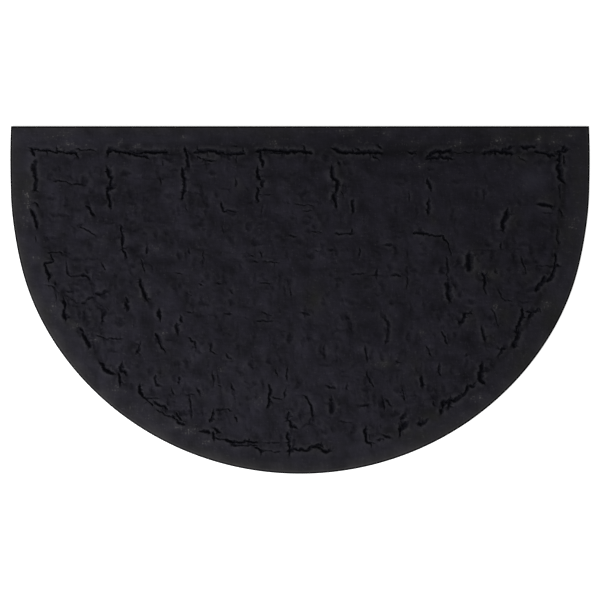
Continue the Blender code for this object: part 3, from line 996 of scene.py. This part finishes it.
def rim_section():
    """The rim's section as (inset, height): a quarter circle over the edge, the flank, and a small
    foot."""
    top = THICKNESS - EDGE_DROP
    over = np.linspace(0, np.pi / 2, OVER_POINTS)[1:]
    under = np.linspace(0, np.pi / 2, FOOT_POINTS)
    rows = [(TOP_ROUND * (1 - np.sin(a)), top - TOP_ROUND * (1 - np.cos(a))) for a in over]
    rows += [(FOOT_ROUND * (1 - np.cos(a)), SKIN_GAP + FOOT_ROUND * (1 - np.sin(a))) for a in under]
    return rows


def all_creases(rng):
    """The placed creases, then their side creases and the small ones, each carried along its path."""
    placed = [lay_crease(crease, rng) for crease in PLACED_CREASES]
    lesser = side_ticks(PLACED_CREASES, rng) + small_creases(rng)
    return placed + [lay_crease(crease, rng) for crease in lesser]


def joined_face(laid_creases):
    """The face seen from above: its points, the triangles of their Delaunay triangulation, and which
    of the points run round the rim."""
    flat, rim_count = face_points(laid_creases)
    loop = list(range(rim_count))
    joined = delaunay_2d_cdt([Vector(p) for p in flat], [], [loop], INSIDE_ONLY, SAME_POINT)
    corners, _, triangles, sources = joined[:4]
    face = np.array([tuple(corner) for corner in corners])
    place = {source: corner for corner, found in enumerate(sources) for source in found}
    return face, np.array(triangles), np.array([place[i] for i in loop])


def face_height(depth, field, relief, rumple):
    """The face's height over the floor: the full thickness, a drop to the field with its crumple, the
    creases' relief where the edge is far enough, and a fall to the rim that grows as a square."""
    off_edge = smooth_step((depth - TOP_ROUND) / EDGE_FADE)
    lifted = off_edge * (BORDER_CRUMPLE * (1 - field) * rumple + relief)
    height = THICKNESS - field * (FIELD_DROP - rumple) + lifted
    height = np.minimum(height, THICKNESS + HIGHEST)
    return height - EDGE_DROP * np.clip(1 - (depth - TOP_ROUND) / EDGE_FALL, 0, 1) ** 2


def rim_and_foot(ring, first):
    """The rim's section carried round the outline, down from the face's ring of points: its points,
    numbered from first, their insets, its triangles, and its last row."""
    points, insets, faces = [], [], []
    above = ring
    for inset, z in rim_section():
        points.append(np.column_stack([outline(inset), np.full(len(ring), z)]))
        insets.append(np.full(len(ring), inset))
        below = np.arange(len(ring)) + first
        after_above, after_below = np.roll(above, -1), np.roll(below, -1)
        faces.append(np.column_stack([above, below, after_below]))
        faces.append(np.column_stack([above, after_below, after_above]))
        above, first = below, first + len(ring)
    return np.concatenate(points), np.concatenate(insets), np.concatenate(faces), above


def mat_piece():
    """The mat as one closed mesh. Its face is a height over the floor at scattered points, joined by
    a Delaunay triangulation; its rim is a section carried round the outline; its underside is flat."""
    rng = np.random.default_rng(SEED)
    laid_creases = all_creases(rng)
    face, triangles, ring = joined_face(laid_creases)
    depth = rounded_inside_edge(face)
    field = smooth_step((depth - BORDER) / FIELD_SLOPE)
    relief, shade, halo, lip = crease_relief(face, laid_creases)
    rumple, valleys = crumple(face, rng)
    height = face_height(depth, field, relief, rumple)
    height[ring] = THICKNESS - EDGE_DROP
    rim_points, rim_insets, rim_faces, foot = rim_and_foot(ring, len(face))
    points = np.concatenate([np.column_stack([face, height]), rim_points])
    faces = np.concatenate([triangles, rim_faces]).tolist()
    underside = foot[::-1].tolist()
    mesh = bpy.data.meshes.new("rubber_mat")
    mesh.from_pydata(points.tolist(), [], faces + [underside])
    # in_crease and beside_crease carry painted shade in and beside the creases, on_lip a painted highlight
    on_face = {
        "in_crease": np.maximum(shade, VALLEY_SHADE * valleys * field),
        "beside_crease": halo,
        "on_lip": lip,
        **{name: in_places(face, places) for name, places in PLACES.items()},
        "in_field": field,
    }
    for name, values in on_face.items():
        add_attribute(mesh, name, np.concatenate([values, np.zeros(len(rim_points))]))
    add_attribute(mesh, "from_edge", np.concatenate([depth, rim_insets]))
    mesh.validate()
    mesh.shade_smooth()
    on_rim = np.arange(len(mesh.polygons)) >= len(triangles)
    mesh.polygons.foreach_set("material_index", on_rim.astype(np.int32))
    piece = bpy.data.objects.new("rubber_mat", mesh)
    bpy.context.scene.collection.objects.link(piece)
    return piece


def add_attribute(mesh, name, values):
    layer = mesh.attributes.new(name, "FLOAT", "POINT")
    layer.data.foreach_set("value", values.astype(np.float32))


def add(tree, kind, inputs, output=0, **settings):
    """Adds a node with its settings, links or sets its inputs, and gives back one of its outputs."""
    node = tree.nodes.new(kind)
    for name, value in settings.items():
        setattr(node, name, value)
    for key, value in inputs.items():
        if isinstance(value, bpy.types.NodeSocket):
            tree.links.new(value, node.inputs[key])
        else:
            node.inputs[key].default_value = value
    return node.outputs[output]


def thread_grain(tree, place):
    """Broken threads along and across the mat, 2.4 mm apart, coarser than the real 1.2 mm so that
    they show: the sum of two noises, each drawn out one way."""
    streaks = []
    for along, across in ((THREAD_LENGTH, THREAD_GAP), (THREAD_GAP, THREAD_LENGTH)):
        scale = (1 / along, 1 / across, 1 / THREAD_GAP)
        drawn_out = add(tree, "ShaderNodeMapping", {"Vector": place, "Scale": scale})
        streaks.append(add(tree, "ShaderNodeTexNoise", {"Vector": drawn_out, "Scale": 1.0, "Detail": 1.0}))
    return add(tree, "ShaderNodeMath", {0: streaks[0], 1: streaks[1]}, operation="ADD")


def skin_tone(tree, place, threads):
    """The skin's colour: a bluish black, lighter and darker in patches of 70 mm, blotches of 18 mm,
    crumbs of 6 mm, and along the threads, less so in the calm places. Some places are paler as a whole,
    and some darker, partly as painted shade along the creases."""
    tone = add(tree, "ShaderNodeMath", {0: threads, 1: THREAD_WEIGHT}, operation="MULTIPLY")
    for size, weight in MOTTLES:
        mottle = add(tree, "ShaderNodeTexNoise", {"Vector": place, "Scale": 1 / size, "Detail": 1.0})
        tone = add(tree, "ShaderNodeMath", {0: mottle, 1: weight, 2: tone}, operation="MULTIPLY_ADD")
    share = add(tree, "ShaderNodeMapRange", {"Value": tone, "From Min": 1.10, "From Max": 2.18})
    calm = add(tree, "ShaderNodeAttribute", {}, "Fac", attribute_name="calm")
    evened = add(tree, "ShaderNodeMath", {0: calm, 1: CALMING}, operation="MULTIPLY")
    share = add(tree, "ShaderNodeMix", {0: evened, 2: share, 3: 0.5}, data_type="FLOAT")
    colours = {0: share, 6: linear("#0e0d13"), 7: linear("#23212b")}
    base = add(tree, "ShaderNodeMix", colours, 2, data_type="RGBA")
    # The darker places are partly painted shade along the ring of creases under the straight edge
    for name, strength, colour in (("paler", 0.34, "#33323c"), ("darker", 0.42, "#0c0b11")):
        there = add(tree, "ShaderNodeAttribute", {}, "Fac", attribute_name=name)
        share = add(tree, "ShaderNodeMath", {0: there, 1: strength}, operation="MULTIPLY")
        base = add(tree, "ShaderNodeMix", {0: share, 6: base, 7: linear(colour)}, 2, data_type="RGBA")
    return base


def border_wear_and_painted_light(tree, place, base):
    """The border: a bluish grey film, uneven in patches of 35 mm, partly wear and partly painted light, as
    it is painted paler on the left and along the curve, towards the key light, and stronger and browner
    in a band along the edge. A thin painted highlight where the face turns over, fainter along the
    straight edge. The drop from the border to the field is painted blacker, most at the top and right,
    away from the light: painted shade."""
    uneven = add(tree, "ShaderNodeTexNoise", {"Vector": place, "Scale": 1 / BORDER_PATCH, "Detail": 1.0})
    patches = {"Value": uneven, "From Min": 0.35, "From Max": 0.6, "To Min": 0.4}
    patches = add(tree, "ShaderNodeMapRange", patches)
    # How far each point lies towards the key light: the border's film is painted paler there, as painted
    # light
    across = {0: place, 1: KEY_LIGHT_WAY}
    across = add(tree, "ShaderNodeVectorMath", across, "Value", operation="DOT_PRODUCT")
    towards = {"Value": across, "From Min": -0.25, "From Max": 0.15, "To Min": 0.25}
    towards = add(tree, "ShaderNodeMapRange", towards)
    worn_and_lit = add(tree, "ShaderNodeMath", {0: towards, 1: patches}, operation="MULTIPLY")
    in_field = add(tree, "ShaderNodeAttribute", {}, "Fac", attribute_name="in_field")
    from_edge = add(tree, "ShaderNodeAttribute", {}, "Fac", attribute_name="from_edge")

    outside = {"Value": in_field, "From Min": 1.0, "From Max": 0.0, "To Max": 0.20}
    outside = add(tree, "ShaderNodeMapRange", outside)
    share = add(tree, "ShaderNodeMath", {0: outside, 1: worn_and_lit}, operation="MULTIPLY")
    base = add(tree, "ShaderNodeMix", {0: share, 6: base, 7: linear("#36353c")}, 2, data_type="RGBA")

    band = {"Value": from_edge, "From Min": BAND_BEGINS, "From Max": BAND_FULL, "To Max": 0.24}
    band = add(tree, "ShaderNodeMapRange", band)
    share = add(tree, "ShaderNodeMath", {0: band, 1: worn_and_lit}, operation="MULTIPLY")
    base = add(tree, "ShaderNodeMix", {0: share, 6: base, 7: linear("#4a4943")}, 2, data_type="RGBA")

    # A painted highlight where the face turns over the rounded edge, fainter along the straight edge
    line = {"Value": from_edge, "From Min": EDGE_HIGHLIGHT_BEGINS, "From Max": EDGE_HIGHLIGHT_FULL, "To Max": 0.2}
    line = add(tree, "ShaderNodeMapRange", line)
    up = add(tree, "ShaderNodeSeparateXYZ", {"Vector": place}, "Y")
    fainter = {"Value": up, "From Min": FAINTER_FROM, "From Max": FAINTER_FULL}
    fainter = add(tree, "ShaderNodeMapRange", {**fainter, "To Min": 1.0, "To Max": 0.25})
    share = add(tree, "ShaderNodeMath", {0: line, 1: fainter}, operation="MULTIPLY")
    base = add(tree, "ShaderNodeMix", {0: share, 6: base, 7: linear("#565552")}, 2, data_type="RGBA")

    # Painted shade on the drop from the border to the field, strongest at the top and right, away from the
    # key light
    above = add(tree, "ShaderNodeMath", {0: 1.0, 1: in_field}, operation="SUBTRACT")
    drop = add(tree, "ShaderNodeMath", {0: in_field, 1: above}, operation="MULTIPLY")
    painted_drop_shade = {"Value": towards, "From Min": 0.25, "From Max": 1.0, "To Min": 3.7, "To Max": 1.0}
    painted_drop_shade = add(tree, "ShaderNodeMapRange", painted_drop_shade)
    share = add(tree, "ShaderNodeMath", {0: drop, 1: painted_drop_shade}, operation="MULTIPLY")
    return add(tree, "ShaderNodeMix", {0: share, 6: base, 7: linear("#08070d")}, 2, data_type="RGBA")


def dried_film(tree, place, base):
    """A thin olive film where the film attribute says, broken up by a noise of 9 mm."""
    film = add(tree, "ShaderNodeAttribute", {}, "Fac", attribute_name="film")
    broken = add(tree, "ShaderNodeTexNoise", {"Vector": place, "Scale": 1 / FILM_PATCH, "Detail": 2.0})
    patches = {"Value": broken, "From Min": 0.3, "From Max": 0.6, "To Min": 0.35}
    broken = add(tree, "ShaderNodeMapRange", patches)
    share = add(tree, "ShaderNodeMath", {0: film, 1: broken}, operation="MULTIPLY")
    share = add(tree, "ShaderNodeMath", {0: share, 1: FILM_COVER}, operation="MULTIPLY")
    return add(tree, "ShaderNodeMix", {0: share, 6: base, 7: linear("#1f1f1c")}, 2, data_type="RGBA")


def caught_dust(tree, place, threads, base):
    """Pale dust: specks of it held where the threads stand up, thick where the dust attribute says
    and sparse elsewhere, and a thin grey film round them."""
    dust = add(tree, "ShaderNodeAttribute", {}, "Fac", attribute_name="dust")
    specks = add(tree, "ShaderNodeTexNoise", {"Vector": place, "Scale": 1 / SPECK, "Detail": 1.0})
    held = {0: specks, 1: SPECK_WEIGHT, 2: threads}
    held = add(tree, "ShaderNodeMath", held, operation="MULTIPLY_ADD")
    held = {0: dust, 1: PLACE_WEIGHT, 2: held}
    held = add(tree, "ShaderNodeMath", held, operation="MULTIPLY_ADD")
    held = add(tree, "ShaderNodeMapRange", {"Value": held, "From Min": 2.05, "From Max": 2.35})
    thick = {0: dust, 1: DUST_COVER, 2: SPARSE_COVER}
    thick = add(tree, "ShaderNodeMath", thick, operation="MULTIPLY_ADD")
    held = add(tree, "ShaderNodeMath", {0: held, 1: thick}, operation="MULTIPLY")
    share = add(tree, "ShaderNodeMath", {0: dust, 1: DUST_FILM, 2: held}, operation="MULTIPLY_ADD")
    return add(tree, "ShaderNodeMix", {0: share, 6: base, 7: linear("#5c5b5a")}, 2, data_type="RGBA")


def dark_creases(tree, threads, base):
    """The creases: a painted highlight on their lips, a soft painted shade beside them, and painted shade
    near black inside, in an outline that the threads break up."""
    on_lip = add(tree, "ShaderNodeAttribute", {}, "Fac", attribute_name="on_lip")
    beside = add(tree, "ShaderNodeAttribute", {}, "Fac", attribute_name="beside_crease")
    inside = add(tree, "ShaderNodeAttribute", {}, "Fac", attribute_name="in_crease")
    # Painted highlight on the lips of the creases
    share = add(tree, "ShaderNodeMath", {0: on_lip, 1: LIP_HIGHLIGHT}, operation="MULTIPLY")
    base = add(tree, "ShaderNodeMix", {0: share, 6: base, 7: linear("#4a494e")}, 2, data_type="RGBA")
    share = add(tree, "ShaderNodeMath", {0: beside, 1: BESIDE_SHADE}, operation="MULTIPLY")
    base = add(tree, "ShaderNodeMix", {0: share, 6: base, 7: linear("#08070d")}, 2, data_type="RGBA")
    # Painted shade, near black, inside the creases and the crumple's valleys
    broken = {0: threads, 1: THREADS_BREAK, 2: inside}
    broken = add(tree, "ShaderNodeMath", broken, operation="MULTIPLY_ADD")
    share = add(tree, "ShaderNodeMapRange", {"Value": broken, "From Min": 1.08, "From Max": 1.90})
    return add(tree, "ShaderNodeMix", {0: share, 6: base, 7: linear("#01010b")}, 2, data_type="RGBA")


def moulded_rubber():
    """Black vulcanised rubber, moulded against cloth: deep black and matt, with the broken grain of the
    threads pressed into it, a mottled skin, a border with a film that is partly wear and partly painted
    light, creases painted near black inside as painted shade, and pale dust caught here and there."""
    material = bpy.data.materials.new("moulded_black_rubber")
    material.use_nodes = True
    tree = material.node_tree
    shader = tree.nodes["Principled BSDF"]
    place = add(tree, "ShaderNodeTexCoord", {}, "Object")
    threads = thread_grain(tree, place)
    base = skin_tone(tree, place, threads)
    base = border_wear_and_painted_light(tree, place, base)
    base = dried_film(tree, place, base)
    base = caught_dust(tree, place, threads, base)
    base = dark_creases(tree, threads, base)
    tree.links.new(base, shader.inputs["Base Color"])

    # Relief: the threads' grain over pits of 8 mm
    pits = add(tree, "ShaderNodeTexNoise", {"Vector": place, "Scale": 1 / PIT, "Detail": 1.0})
    pitted = add(tree, "ShaderNodeBump", {"Strength": 0.45, "Distance": 0.0015, "Height": pits})
    grain = {"Strength": 0.28, "Distance": 0.0004, "Height": threads, "Normal": pitted}
    tree.links.new(add(tree, "ShaderNodeBump", grain), shader.inputs["Normal"])

    shader.inputs["Roughness"].default_value = 0.8
    shader.inputs["Specular IOR Level"].default_value = 0.15
    shader.inputs["IOR"].default_value = 1.5
    return material


def rounded_edge():
    """The same rubber on the mat's rounded edge and underside: blacker, as painted shade against the
    glow of the floor, and duller, mottled in marks of 5 mm, and painted greyer towards the left of the
    curve, towards the key light, as painted light."""
    material = bpy.data.materials.new("moulded_black_rubber_edge")
    material.use_nodes = True
    tree = material.node_tree
    shader = tree.nodes["Principled BSDF"]
    place = add(tree, "ShaderNodeTexCoord", {}, "Object")
    mottle = add(tree, "ShaderNodeTexNoise", {"Vector": place, "Scale": 1 / EDGE_MARK, "Detail": 2.0})
    # Near black: painted shade on the rim against the glow of the floor
    colours = {0: mottle, 6: linear("#020203"), 7: linear("#08080a")}
    base = add(tree, "ShaderNodeMix", colours, 2, data_type="RGBA")
    # Greyer towards the key light: painted light on the rim
    across = {0: place, 1: KEY_LIGHT_WAY}
    across = add(tree, "ShaderNodeVectorMath", across, "Value", operation="DOT_PRODUCT")
    share = add(tree, "ShaderNodeMapRange", {"Value": across, "From Min": 0.05, "From Max": 0.25})
    base = add(tree, "ShaderNodeMix", {0: share, 6: base, 7: linear("#17171a")}, 2, data_type="RGBA")
    tree.links.new(base, shader.inputs["Base Color"])
    bump = add(tree, "ShaderNodeBump", {"Strength": 0.4, "Distance": 0.0004, "Height": mottle})
    tree.links.new(bump, shader.inputs["Normal"])
    shader.inputs["Roughness"].default_value = 0.9
    shader.inputs["Specular IOR Level"].default_value = 0.04
    shader.inputs["IOR"].default_value = 1.5
    return material


def studio_floor():
    """A white studio floor, plain and matt, lit a little from beneath so that no shadow shows on it."""
    material = bpy.data.materials.new("white_studio_floor")
    material.use_nodes = True
    shader = material.node_tree.nodes["Principled BSDF"]
    shader.inputs["Base Color"].default_value = linear("#f4f4f4")
    shader.inputs["Roughness"].default_value = 0.9
    shader.inputs["Emission Color"].default_value = linear("#ffffff")
    shader.inputs["Emission Strength"].default_value = 0.75
    return material


def add_camera():
    data = bpy.data.cameras.new("camera")
    data.lens = LENS
    data.sensor_width = SENSOR
    camera = bpy.data.objects.new("camera", data)
    camera.location = (0, 0, THICKNESS - TOP_ROUND + VIEW_WIDTH * LENS / SENSOR)
    bpy.context.scene.collection.objects.link(camera)
    bpy.context.scene.camera = camera


def add_lights():
    """A soft light low on the left and near, a weak one overhead, and a pale room that the camera
    sees as white as the floor."""
    for row in LIGHTS:
        data = bpy.data.lights.new(row.name, "AREA")
        data.size = row.size
        data.energy = row.power
        light = bpy.data.objects.new(row.name, data)
        light.location = row.place
        light.rotation_euler = (-Vector(row.place)).to_track_quat("-Z", "Y").to_euler()
        bpy.context.scene.collection.objects.link(light)
    world = bpy.data.worlds.new("pale_room")
    world.use_nodes = True
    tree = world.node_tree
    background = tree.nodes["Background"]
    background.inputs["Color"].default_value = (1, 1, 1, 1)
    seen = add(tree, "ShaderNodeLightPath", {}, "Is Camera Ray")
    strength = add(tree, "ShaderNodeMapRange", {"Value": seen, "To Min": ROOM_LIGHT, "To Max": 1.0})
    tree.links.new(strength, background.inputs["Strength"])
    bpy.context.scene.world = world
    bpy.context.scene.view_settings.view_transform = "Standard"


def add_floor():
    mesh = bpy.data.meshes.new("floor")
    side = FLOOR_REACH
    corners = [(-side, -side, 0), (side, -side, 0), (side, side, 0), (-side, side, 0)]
    mesh.from_pydata(corners, [], [(0, 1, 2, 3)])
    floor = bpy.data.objects.new("floor", mesh)
    floor.data.materials.append(studio_floor())
    bpy.context.scene.collection.objects.link(floor)


add_camera()
add_lights()
add_floor()
mat = mat_piece()
mat.data.materials.append(moulded_rubber())
mat.data.materials.append(rounded_edge())
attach(mat, "root")
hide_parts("mat")
